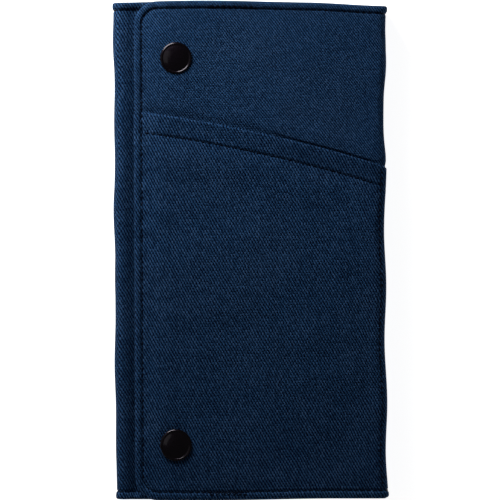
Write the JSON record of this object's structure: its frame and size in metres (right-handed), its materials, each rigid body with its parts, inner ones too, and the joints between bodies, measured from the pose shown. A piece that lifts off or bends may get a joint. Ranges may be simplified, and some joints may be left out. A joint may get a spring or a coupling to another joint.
{
  "type": "travel document organizer",
  "caption": "Wrap-around fabric travel wallet with a snap closure, slanted outer pocket, inner card and passport pockets, zip pocket, pen loop and ringed clear pouches.",
  "frame": {"origin": "middle of the outer face of the back panel, on the surface that the closed organizer lies on", "axes": "+X from the closure flap's side to the spine, +Y to the organizer's top edge, +Z out of the front cover"},
  "size_m": [0.13, 0.235, 0.0252],
  "materials": {
    "outer_canvas": "plain woven polyester canvas, matt",
    "lining_cloth": "thin woven nylon, slight sheen",
    "binding_tape": "ribbed polyester tape",
    "elastic_webbing": "flat woven elastic",
    "stiffening_board": "grey board, hidden",
    "zip_tape": "herringbone tape",
    "zip_coil": "moulded nylon",
    "gunmetal": "black nickel, polished",
    "nickel": "bright nickel",
    "ring_plastic": "moulded",
    "clear_film": "clear flexible film",
    "seal_plastic": "translucent moulded profile"
  },
  "bodies": {
    "back": {"back_outer_fabric": "outer_canvas", "back_board": "stiffening_board", "back_lining": "lining_cloth", "zip_pocket_bag": "lining_cloth", "passport_pocket": "lining_cloth", "passport_pocket_binding": "binding_tape", "card_slot_upper": "lining_cloth", "card_slot_middle": "lining_cloth", "card_slot_lower": "lining_cloth", "zip_tape_left": "zip_tape", "zip_tape_right": "zip_tape", "zip_teeth_left": "zip_coil", "zip_teeth_right": "zip_coil", "zip_end_stops": "gunmetal", "ring_tape": "binding_tape", "binder_rings": "ring_plastic"},
    "zip_slider": {"zip_slider": "gunmetal"},
    "zip_pull": {"zip_pull": "gunmetal"},
    "spine": {"spine_outer_fabric": "outer_canvas", "spine_board": "stiffening_board", "spine_lining": "lining_cloth"},
    "front_cover": {"cover_outer_fabric": "outer_canvas", "cover_board": "stiffening_board", "cover_lining": "lining_cloth", "slant_pocket": "outer_canvas", "ticket_pocket": "lining_cloth", "ticket_pocket_binding": "binding_tape", "pen_loop": "elastic_webbing", "snap_cap_upper": "gunmetal", "snap_cap_lower": "gunmetal", "snap_socket_upper": "nickel", "snap_socket_lower": "nickel", "snap_springs": "nickel"},
    "side": {"side_outer_fabric": "outer_canvas", "side_lining": "lining_cloth"},
    "closure_flap": {"flap_outer_fabric": "outer_canvas", "flap_board": "stiffening_board", "flap_lining": "lining_cloth", "snap_stud_upper": "nickel", "snap_stud_lower": "nickel", "snap_post_upper": "nickel", "snap_post_lower": "nickel"},
    "pouch_1": {"pouch_1_film": "clear_film", "pouch_1_header": "binding_tape", "pouch_1_seal": "seal_plastic"},
    "pouch_2": {"pouch_2_film": "clear_film", "pouch_2_header": "binding_tape", "pouch_2_seal": "seal_plastic"}
  },
  "joints": [
    {"name": "cover_fold", "type": "hinge", "parent": "spine", "child": "front_cover", "pos_m": [0.06425, 0, 0.02205], "axis": [0, 1, 0], "range_deg": [0, 88]},
    {"name": "spine_fold", "type": "hinge", "parent": "back", "child": "spine", "pos_m": [0.06425, 0, 0.00075], "axis": [0, 1, 0], "range_deg": [0, 88]},
    {"name": "side_fold", "type": "hinge", "parent": "back", "child": "side", "pos_m": [-0.06425, 0, 0.00075], "axis": [0, -1, 0], "range_deg": [0, 88]},
    {"name": "closure_fold", "type": "hinge", "parent": "side", "child": "closure_flap", "pos_m": [-0.06425, 0, 0.01605], "axis": [0, -1, 0], "range_deg": [0, 88]},
    {"name": "pouch_1_turn", "type": "hinge", "parent": "back", "child": "pouch_1", "pos_m": [0.0522, 0, 0.0112], "axis": [0, 1, 0], "range_deg": [0, 31.68]},
    {"name": "pouch_2_turn", "type": "hinge", "parent": "back", "child": "pouch_2", "pos_m": [0.0522, 0, 0.0112], "axis": [0, 1, 0], "range_deg": [0, 52.8]},
    {"name": "zip_slide", "type": "slide", "parent": "back", "child": "zip_slider", "axis": [0, -1, 0], "range_m": [0, 0.182]},
    {"name": "pull_swing", "type": "hinge", "parent": "zip_slider", "child": "zip_pull", "pos_m": [-0.055, 0.092, 0.00485], "axis": [-1, 0, 0], "range_deg": [0, 35]}
  ],
  "couplings": [
    {"joint": "spine_fold", "follows": "cover_fold", "ratio": 1},
    {"joint": "side_fold", "follows": "cover_fold", "ratio": 1},
    {"joint": "closure_fold", "follows": "cover_fold", "ratio": 1},
    {"joint": "pouch_1_turn", "follows": "cover_fold", "ratio": 0.36},
    {"joint": "pouch_2_turn", "follows": "cover_fold", "ratio": 0.6}
  ]
}
